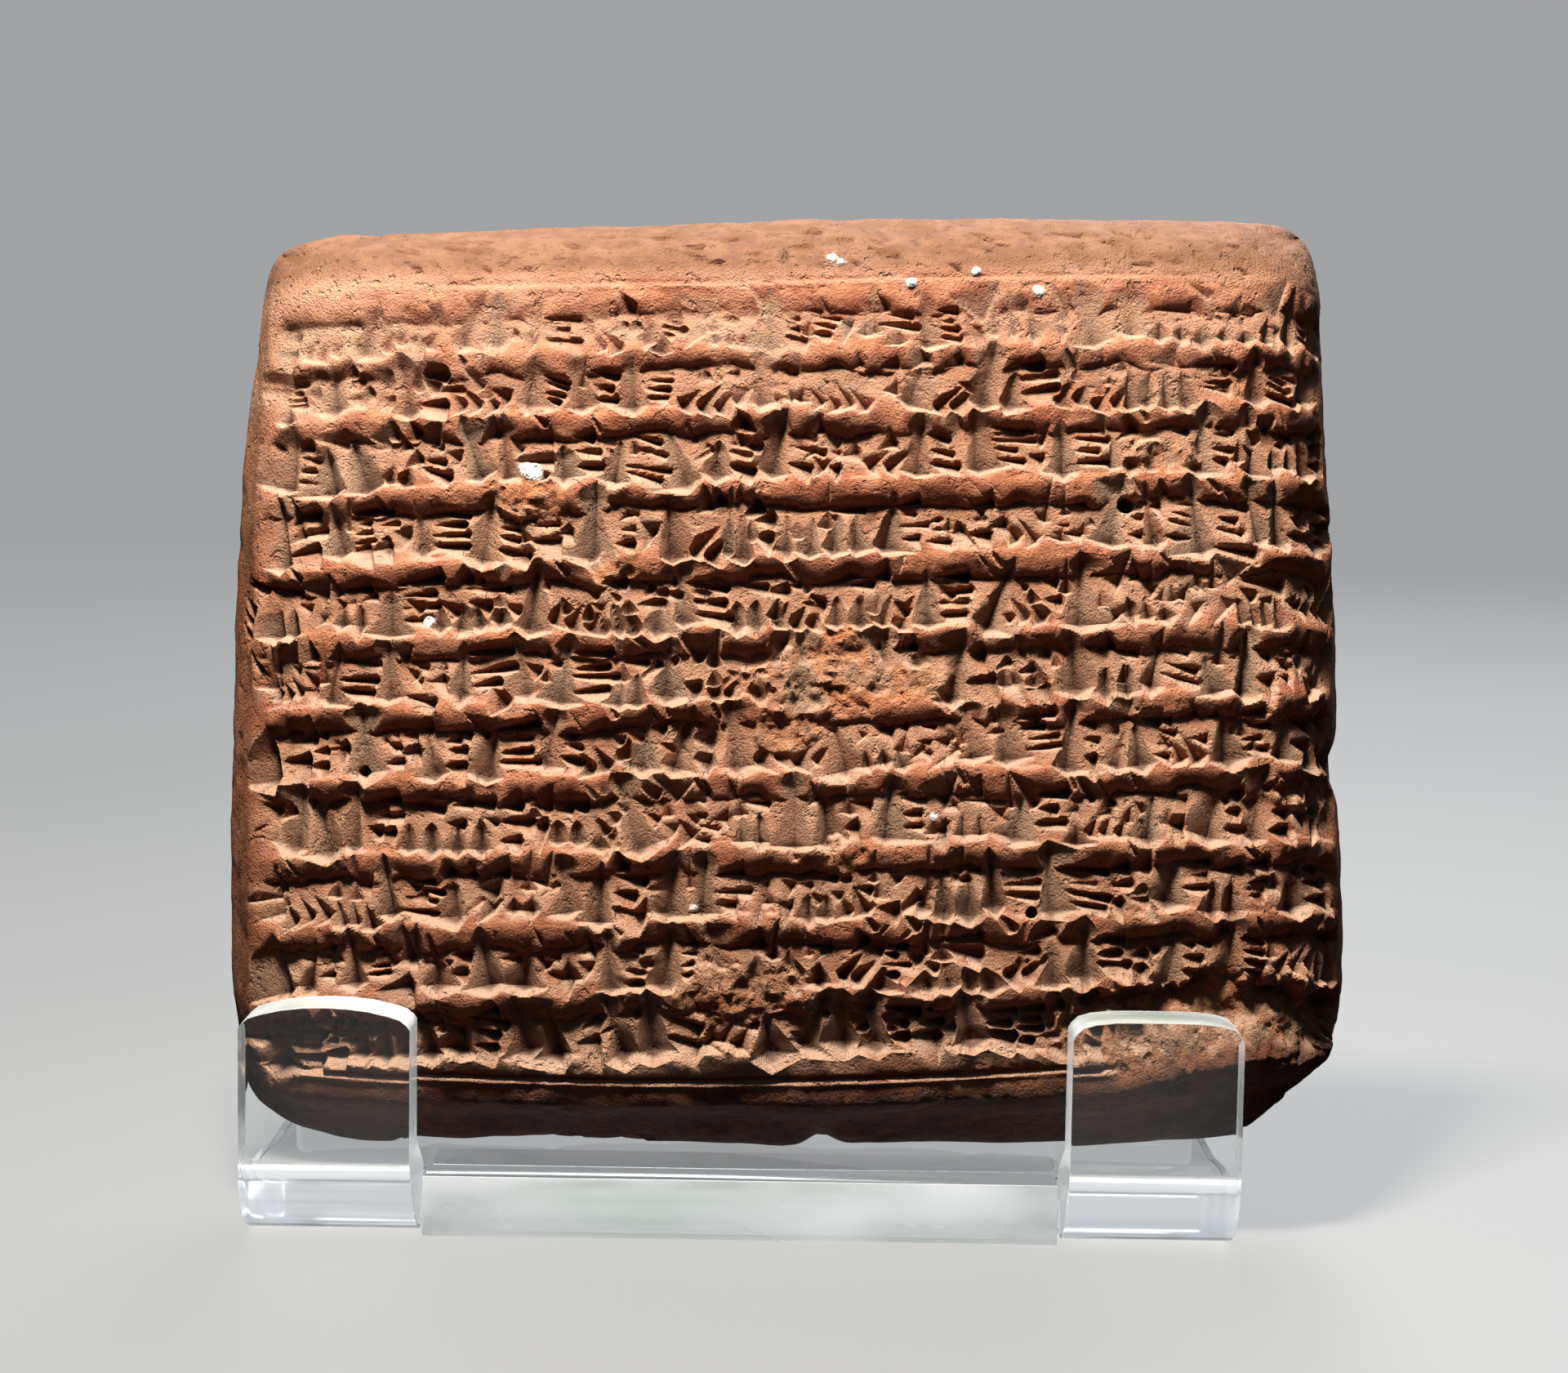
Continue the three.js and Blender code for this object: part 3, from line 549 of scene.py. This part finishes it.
for row, height in enumerate(ROW_HEIGHTS):
    x = ROW_START + rng.uniform(-0.6, 0.8)
    end = ROW_END + rng.uniform(-0.5, 2.5)
    while x < end:
        roll = level(row, x) - rng.choice([rng.uniform(-0.5, 0.4), rng.uniform(0.4, 1.8)])
        top = level(row, x) - rng.uniform(2.1, 2.6)
        foot = level(row + 1, x) + rng.uniform(-0.6, 0.5)
        tall = top - foot
        kind = rng.choice(list(GROUP_SHARES), p=list(GROUP_SHARES.values()))
        depth = rng.uniform(1.5, 2.1)
        if kind == "bars and upright":
            length = rng.uniform(2.4, 4)
            width = rng.uniform(3.4, 6)
            bars = int(rng.choice([2, 3, 4], p=[0.2, 0.5, 0.3]))
            stack(x + width * 0.4, top + 0.3, foot + 0.3, length, bars)
            upright(x + width * 0.32, roll, foot, width, depth, rng.uniform(-0.25, 0.2))
            x += width * 0.36 + length * 0.92
        elif kind == "upright":
            width = rng.uniform(4, 6.4)
            upright(x + width * 0.35, roll + rng.uniform(0, 0.4), foot, width, depth,
                    rng.uniform(-0.45, 0.35))
            if rng.random() < 0.5:
                corner_wedge(x + width * 0.7, top - 0.2, 1.5, 1.5, rng.uniform(-0.6, 0.4))
            x += width * 0.55
        elif kind == "comb":
            count = int(rng.integers(2, 5))
            width = rng.uniform(1.3, 2.1)
            high = rng.uniform(0.5, 1)
            for k in range(count):
                upright(x + width * (k + 0.5), foot + (roll - foot) * high, foot + rng.uniform(-0.4, 0.3),
                        width * 1.9, depth * 0.85, rng.uniform(-0.2, 0.2))
            if high < 0.75:
                long = count * width
                press(x + long, top - 0.3, RIGHTWARD, long * 1.6, 2.4, 1.6, 0.2, 0.3, 4.0)
            x += width * count
        elif kind == "slants":
            count = int(rng.integers(2, 5))
            heading = DOWNWARD + rng.choice([-1, 1]) * rng.uniform(0.35, 0.95)
            slants(x + 1, top, foot, count, rng.uniform(1.1, 1.6), heading, 1.55)
            x += 1.35 * count + 0.6
        elif kind == "two wedges":
            size = rng.uniform(1.6, 2.8)
            corner_wedge(x + size, foot + tall * rng.uniform(0.55, 0.9), size, depth * 0.95,
                         rng.uniform(-0.9, 0.5))
            corner_wedge(x + size * 0.9, foot + tall * rng.uniform(0.1, 0.35), size * 0.85, depth * 0.85,
                         rng.uniform(-0.9, 0.3))
            x += size + 0.2
        elif kind == "gate":
            long = rng.uniform(3.2, 4.6)
            press(x + long, foot + tall * 0.85, RIGHTWARD + rng.uniform(-0.2, 0.1), long * 2, 2.6, 1.7,
                  0.2, 0.3, 4.0)
            for k in range(2):
                upright(x + long * (0.3 + 0.45 * k), foot + tall * 0.9, foot, 3.2, depth * 0.9)
            x += long * 0.95
        elif kind == "fence":
            width = rng.uniform(1.2, 1.7)
            count = int(rng.integers(3, 5))
            for k in range(count):
                upright(x + width * (k + 0.5), foot + tall * rng.uniform(0.6, 0.9),
                        foot - rng.uniform(0, 0.5), width * 2, 1.5, 0.25)
            stack(x, top + 0.4, foot + tall * 0.6, width * count * 0.8, 1)
            x += width * count * 0.95
        else:
            length = rng.uniform(2.2, 3.2)
            stack(x, top + 0.2, foot + 0.2, length, int(rng.integers(3, 5)))
            corner_wedge(x + length + 1.2, foot + tall * 0.5, 2, depth * 0.9, rng.uniform(-0.6, 0.6))
            x += length + 1.1

# Small strokes wherever a trough was still bare.
for _ in range(SMALL_STROKES):
    x = rng.uniform(ROW_START, ROW_END)
    row = int(rng.integers(len(ROW_HEIGHTS)))
    z = rng.uniform(level(row + 1, x) + 0.4, level(row, x) - 2.3)
    heading = rng.choice([RIGHTWARD, DOWNWARD, -0.7, 0.5]) + rng.uniform(-0.25, 0.25)
    size = rng.uniform(1.8, 3)
    depth = rng.uniform(1.3, 1.8)
    column, line = int(x / step + columns / 2), int(z / step_z + lines / 2)
    around = np.s_[line - 5 : line + 6, column - 5 : column + 6]
    if (dents[around] - relief[around]).mean() < 0.04:
        press(x + math.cos(heading) * size / 2, z + math.sin(heading) * size / 2, heading, size * 1.6,
              size * 1.4, depth, rng.uniform(-0.3, 0.3), rng.uniform(0, 0.7), 3.0)

# Worn strokes on the top edge, three slanting ones on the left edge, and a few on the rolls.
for _ in range(TOP_STROKES):
    long = rng.uniform(1.2, 3)
    press(rng.uniform(-34, 43), rng.uniform(FIRST_LINE + 1.2, FIRST_LINE + 8),
          rng.choice([RIGHTWARD, DOWNWARD, -0.6]), long, long * 0.6, rng.uniform(0.4, 1), 0.2, 0.2, 1.6)
for k in range(3):
    press(-46.2 - 0.2 * k, 4.6 - 1.1 * k, -0.6, 3.4, 1.7, 1.0, 0.2, 0.2, 2.4)
for _ in range(ROLL_STROKES):
    x, row = rng.uniform(ROW_START, ROW_END), int(rng.integers(len(ROW_HEIGHTS)))
    press(x, level(row, x) - rng.uniform(1.4, 2.6), rng.uniform(-1.2, -0.5), rng.uniform(2, 3.4),
          1.5, 0.9, 0.2, 0.2, 2.4)

pressed = smooth(dents - relief, 0, 0.15)
dust = dust * pressed + 0.3 * (1 - pressed) * smooth(relief, 0.3, 0.6)
on_roll *= 1 - pressed
relief = np.maximum(relief, dents) * (1 - 0.3 * smooth(ink_z, 16, 30))
# The ruled lines, each with a lip of clay pushed up below it.
for line_z, start_x, end_x, deep in (
    (FIRST_LINE + 0.5 + ROW_RISE * ink_x, -28, 34, 0.14),
    (LAST_LINE + LAST_SAG * (ink_x + 2) ** 2 + ROW_RISE * ink_x, -40, 26, 0.32),
):
    along = smooth(ink_x, start_x - 2, start_x) * (1 - smooth(ink_x, end_x, end_x + 2))
    off = ink_z - line_z
    relief += along * deep * (np.exp(-((off / 0.2) ** 2)) - 0.35 * np.exp(-(((off + 0.42) / 0.22) ** 2)))
# Wear of handling, softest at the top left.
relief = relief + 0.2 * (relief - blur(relief, 3))
soft = blur(relief, 1)
softer = blur(relief, 5)
worn = smooth(face_z, 12, 32) * 0.4 + smooth(-face_x, 0, 50) * smooth(face_z, 0, 34) * 0.5
worn = np.clip(worn + 0.25 * rough(ink_x, ink_z, 9, 51) - 0.1, 0, 0.85)
worn = np.maximum(worn, smooth(ink_z, FIRST_LINE, FIRST_LINE + 1.5) * 0.5)
relief = relief * (1 - worn) + worn * (0.65 * soft + 0.3 * softer)


def patch(x, z, wide, tall, seed):
    """1 inside a ragged patch, 0 outside it."""
    away = np.hypot((face_x - x) / wide, (face_z - z) / tall) + 0.3 * rough(ink_x, ink_z, 3, seed)
    return 1 - smooth(away, 0.75, 1.05)


crumbled = np.zeros_like(relief)
for x, z, wide, tall, seed in (
    (2.5, -1.2, 6.2, 4, 61), (-4.5, -27.6, 6, 2.5, 62), (43.3, -11.2, 3.5, 1.5, 64), (0, -6, 3, 1.6, 66),
    (31, 17, 3, 1.5, 67), (-22, 14, 3, 2, 68), (11, -2, 3, 2, 69), (4.5, -16.2, 2.2, 2.2, 70),
    (-14, 8, 2, 1.4, 59),
):
    crumbled = np.maximum(crumbled, patch(x, z, wide, tall, seed))
crumbs = 0.55 + 0.5 * rough(ink_x, ink_z, 2.2, 71, 5, 0.6)
relief = relief * (1 - 0.75 * crumbled) + 0.75 * crumbled * crumbs
# A flake gone above the right foot: steep at its upper rim, shallow at its lower one.
flake = patch(35.8, -30.3, 14, 4.4, 63)
flake_floor = 0.6 + 1.9 * smooth(face_z, -34, -26.5) + 0.5 * rough(ink_x, ink_z, 3.4, 73, 5, 0.6)
relief = relief * (1 - flake) + flake * flake_floor
crumbled = np.maximum(crumbled, flake)
# Small deep holes, and specks of white grit.
for x, z, radius, deep in ((28.4, 13, 0.8, 3.2), (-35.4, -9, 0.5, 2.4), (20, -21, 0.4, 1.6)):
    away = np.hypot(face_x - x, face_z - z) / radius
    relief += deep * (1 - smooth(away, 0.5, 1.1))
speck = np.zeros_like(relief)
for x, z, radius in ((-21.2, 15.9, 0.75), (-21.9, 16.2, 0.5), (-29.9, 3.4, 0.5), (3.9, 34.6, 0.45),
                     (4.6, 34.1, 0.35), (21.2, 31.2, 0.45), (16, 33, 0.35), (10.5, 32, 0.4),
                     (-8, -20.5, 0.3), (12, -13, 0.28)):
    speck = np.maximum(speck, 1 - smooth(np.hypot(ink_x - x, ink_z - z) + 0.1 * lumps(ink_x, ink_z, 0.5, 75),
                                         radius * 0.7, radius * 1.2))
relief = relief * (1 - speck) + speck * (softer - 0.25)

edge = smooth(1 - np.maximum(abs(grid_u), abs(grid_v)), 0, 0.03)
grit = 0.05 * rough(ink_x, ink_z, 1.5, 81, 2, 0.7)
grit += 0.09 * np.maximum(0, rough(ink_x, ink_z, 1, 83, 2) - 0.5)
grit *= 1 - 0.8 * pressed
# Below the last line the foot turns under, from higher up where the flake is gone.
foot_line = LAST_LINE + LAST_SAG * (np.clip(ink_x, -45, 26) + 2) ** 2 + ROW_RISE * ink_x
foot_line += 2.6 * smooth(ink_x, 24, 38)
under_foot = np.maximum(0, foot_line - 0.6 - ink_z)
bevel = 0.75 * np.maximum(0, under_foot - 1.6) - 0.27 * under_foot
bevel += 0.15 * np.maximum(0, ink_z - FIRST_LINE - 2)
bevel += 0.35 * np.maximum(0, ROW_START - 1.5 - ink_x) + 0.22 * np.maximum(0, ink_x - ROW_END - 2)
relief = relief + grit
# Slope towards the top of the face. The colour uses it for painted light: up-facing slopes are painted paler
# as a highlight, down-facing ones dark red as shade.
facing_up = np.gradient(relief, step_z, axis=0)
to_rim = 1 - np.maximum(abs(grid_u), abs(grid_v))
relief = relief * edge + bevel * smooth(to_rim, 0, 0.2)
in_rows = smooth(ink_z, LAST_LINE - 1, LAST_LINE) * across_rows
bare = 1 - in_rows * smooth(ink_x, ROW_START - 3, ROW_START) + 0.3 * rough(ink_x, ink_z, 6, 97)
# Darkens the foot below the last line: partly a stain, partly painted shade where the foot turns under, away
# from the light.
foot_stain = smooth(foot_line - 0.1 - ink_z + 0.5 * rough(ink_x, ink_z, 4, 98), 0, 1.8)
top_band = smooth(ink_z, FIRST_LINE, FIRST_LINE + 2.5)
# Darker towards the bottom of the face.
grime = smooth(-face_z + 6 * rough(ink_x, ink_z, 14, 99, 3), 0, 40)
# How far each place lies below or above its surroundings. The colour uses it to paint shade into the hollows
# and a highlight on the ridges.
cavity = relief - blur(relief, 5)

base = np.stack([face_x, -face_depth, face_z], -1)
tangent_u = np.gradient(base, axis=1)
tangent_v = np.gradient(base, axis=0)
inward = -np.cross(tangent_u, tangent_v)
inward /= np.maximum(np.linalg.norm(inward, axis=-1, keepdims=True), 1e-12)
face_points = base + inward * relief[..., None]

columns_b, lines_b = BACK_CELLS
back_u, back_v = np.meshgrid(np.linspace(-1, 1, columns_b + 1), np.linspace(-1, 1, lines_b + 1))
back_x, back_z, back_depth, _, _ = pillow(back_u, back_v, BACK_POWER, BACK_BULGE)
back_points = np.stack([back_x, back_depth + FACE_TO_BACK, back_z], -1)


def grid_piece(name, cells, points):
    """A grid whose corners are put where the points say, in metres."""
    bpy.ops.object.select_all(action="DESELECT")
    bpy.ops.mesh.primitive_grid_add(x_subdivisions=cells[0], y_subdivisions=cells[1], size=1)
    made = bpy.context.object
    made.name = name
    made.data.vertices.foreach_set("co", (points * MM).astype(np.float32).ravel())
    return made


def point_values(piece, name, values):
    made = piece.data.attributes.new(name, "FLOAT", "POINT")
    made.data.foreach_set("value", values.astype(np.float32).ravel())


tablet = grid_piece("clay_tablet_relief", FACE_CELLS, face_points)
back = grid_piece("tablet_back", BACK_CELLS, back_points)
surface_values = {  # on the face, and on the back
    "dust": (dust, 0), "cavity": (cavity, 0), "crumbled": (crumbled, 0), "worn": (worn, 0),
    "facing_up": (np.clip(facing_up, -1, 1), 0), "bare": (np.clip(bare, 0, 1), 0.8), "roll": (on_roll, 0),
    "speck": (speck, 0), "foot_stain": (foot_stain, 0), "top_band": (top_band, 0), "grime": (grime, 0),
}
for name, (values, on_back) in surface_values.items():
    point_values(tablet, name, values)
    point_values(back, name, np.full(back_x.size, on_back))
bpy.context.view_layer.objects.active = back
bpy.ops.object.mode_set(mode="EDIT")
bpy.ops.mesh.select_all(action="SELECT")
bpy.ops.mesh.flip_normals()
bpy.ops.object.mode_set(mode="OBJECT")
bpy.ops.object.select_all(action="DESELECT")
back.select_set(True)
tablet.select_set(True)
bpy.context.view_layer.objects.active = tablet
bpy.ops.object.join()
bpy.ops.object.mode_set(mode="EDIT")
bpy.ops.mesh.select_mode(type="EDGE")
bpy.ops.mesh.select_all(action="DESELECT")
bpy.ops.mesh.select_non_manifold(use_boundary=True, use_wire=False, use_multi_face=False,
                                 use_non_contiguous=False, use_verts=False)
bpy.ops.mesh.bridge_edge_loops()
bpy.ops.mesh.select_all(action="SELECT")
bpy.ops.mesh.quads_convert_to_tris()
bpy.ops.mesh.normals_make_consistent(inside=False)
bpy.ops.object.mode_set(mode="OBJECT")

# Edges and back are worn and dented all round, and two foot corners are broken off.
points = np.empty(len(tablet.data.vertices) * 3, np.float32)
normals = np.empty_like(points)
tablet.data.vertices.foreach_get("co", points)
tablet.data.vertices.foreach_get("normal", normals)
points = points.reshape(-1, 3).astype(float) / MM
normals = normals.reshape(-1, 3).astype(float)
back_share = smooth(points[:, 1], -5, 3)
turned = points[:, 0] + 0.7 * points[:, 1], points[:, 2] - 0.6 * points[:, 1]
swell = 0.22 * rough(*turned, 9, 91, 3)
swell += back_share * (0.3 * rough(*turned, 16, 92, 2) + 0.07 * rough(*turned, 2.5, 93))
swell -= BACK_INSET * smooth(normals[:, 1], 0.5, 0.95)
pits = np.maximum(0, rough(*turned, 4, 94, 3) - 0.75) * back_share * 1.6
points += normals * (swell - pits)[:, None]


def break_off(points, towards, distance, lump, seed):
    """Flattens what lies beyond a plane on to it, with a rough face."""
    towards = np.array(towards, float) / np.linalg.norm(towards)
    beyond = points @ towards - distance
    rim = lump * rough(points[:, 0] + points[:, 1], points[:, 2] + 0.6 * points[:, 1], 2.4, seed)
    cut = np.maximum(0, beyond - rim)
    points -= cut[:, None] * towards * 0.94


break_off(points, (0.64, -0.12, -0.77), 54.6, 0.35, 101)
break_off(points, (-0.7, 0.1, -0.71), 57.6, 0.3, 102)
for x, z, wide, tall, deep in ((-48.3, 33.5, 1.1, 4.5, 0.7), (2.6, -40.8, 1.3, 1.4, 1),
                               (47.6, -8.5, 2.4, 2, 0.9), (-20, -40.9, 4, 1, 0.4), (14, -41, 5, 1, 0.3)):
    near = np.exp(-(((points[:, 0] - x) / wide) ** 2) - ((points[:, 2] - z) / tall) ** 2)
    points -= normals * (deep * near)[:, None]

tilt = Matrix.Rotation(-LEAN_BACK, 3, "X") @ Matrix.Rotation(-TURN, 3, "Y")
points = points @ np.array(tilt).T
cad_low, cad_high = (np.array(corner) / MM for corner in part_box("clay_tablet"))
points += (cad_low + cad_high) / 2 - (points.min(0) + points.max(0)) / 2
points[:, 2] += cad_low[2] - points[:, 2].min()
tablet.data.vertices.foreach_set("co", (points * MM).astype(np.float32).ravel())
tablet.data.update()

bpy.ops.object.modifier_add(type="DECIMATE")
tablet.modifiers[-1].ratio = KEPT_SHARE
bpy.ops.object.modifier_apply(modifier=tablet.modifiers[-1].name)
bpy.ops.object.shade_smooth_by_angle(angle=TABLET_SMOOTH)

clay_finish, shader, start, place = new_material("fired_clay", {"Specular IOR Level": 0.25})
dusty, hollow_and_ridge_light, broken, handled, upward, bare_clay, rolled, gritty, stain_and_shade, above, darkening_towards_bottom = (
    start.node("ShaderNodeAttribute", {"attribute_name": name}, out=2) for name in surface_values
)
patches = start.noise(place, 110, 4, 0.6)
blotches = start.noise(place, 420, 4, 0.6)
grain = start.noise(place, 1500, 5, 0.7)
fine = start.noise(place, 5200, 3, 0.6)
clay = patches.between(0.36, 0.64).mix((0.36, 0.13, 0.06), (0.48, 0.22, 0.12))
clay = (blotches.between(0.45, 0.7) * 0.5).mix(clay, (0.35, 0.215, 0.145))
clay = (rolled * 0.9).mix(clay, blotches.between(0.35, 0.65).mix((0.31, 0.075, 0.025), (0.5, 0.185, 0.085)))
dark_skin = blotches.between(0.4, 0.65).mix((0.2, 0.052, 0.016), (0.32, 0.105, 0.038))
clay = (bare_clay * 0.85).mix(clay, dark_skin)
clay = (broken * 0.75).mix(clay, grain.between(0.3, 0.65).mix((0.28, 0.08, 0.026), (0.58, 0.23, 0.09)))
clay = (dusty * 0.8).mix(clay, (0.27, 0.185, 0.12))
# Darker towards the bottom of the tablet.
clay = (darkening_towards_bottom * 0.45).mix(clay, patches.between(0.4, 0.6).mix((0.15, 0.045, 0.018), (0.27, 0.135, 0.075)))
clay = (handled * 0.6 * grain.between(0.2, 0.55)).mix(clay, (0.6, 0.35, 0.225))
# Painted shade: down-facing slopes are painted dark red. Up-facing slopes and ledges are painted paler, a
# painted highlight together with dust settled there.
clay = (upward.between(-0.05, -0.6) * (1 - dusty * 0.7) * 0.85).mix(clay, (0.24, 0.042, 0.01))
clay = (upward.between(0.35, 1.1) * 0.75).mix(clay, (0.58, 0.375, 0.265))
# Painted highlight on the ridges, and painted shade, nearly black, in the hollows.
clay = (hollow_and_ridge_light.between(-0.03, -0.35) * (1 - rolled * 0.85) * 0.45).mix(clay, (0.58, 0.32, 0.2))
clay = (hollow_and_ridge_light.between(0.05, 0.6) * 0.8).mix(clay, (0.06, 0.02, 0.01))
clay = (grain.between(0.55, 0.75) * 0.22).mix(clay, (0.54, 0.29, 0.17))
clay = (above * 0.85).mix(clay, blotches.between(0.4, 0.65).mix((0.13, 0.052, 0.022), (0.21, 0.095, 0.045)))
# The foot below the last line painted nearly black: partly a stain, partly painted shade.
clay = (stain_and_shade * 0.9).mix(clay, blotches.between(0.4, 0.7).mix((0.04, 0.009, 0.003), (0.15, 0.038, 0.012)))
clay = (fine.between(0.58, 0.75) * 0.35).mix(clay, (0.15, 0.055, 0.025))
feed(shader, "Base Color", gritty.mix(clay, (0.85, 0.82, 0.75)))
feed(shader, "Roughness", 0.5 + grain * 0.35)
pitting = start.noise(place, 900, 3, 0.6).between(0.56, 0.7)
height = grain * 0.55 + fine * 0.55 - pitting * 0.5
bump = start.node("ShaderNodeBump", {}, {"Strength": 1, "Distance": 0.0005, "Height": height})
feed(shader, "Normal", bump)
tablet.data.materials.append(clay_finish)

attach(tablet, "root")
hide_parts("clay_tablet")
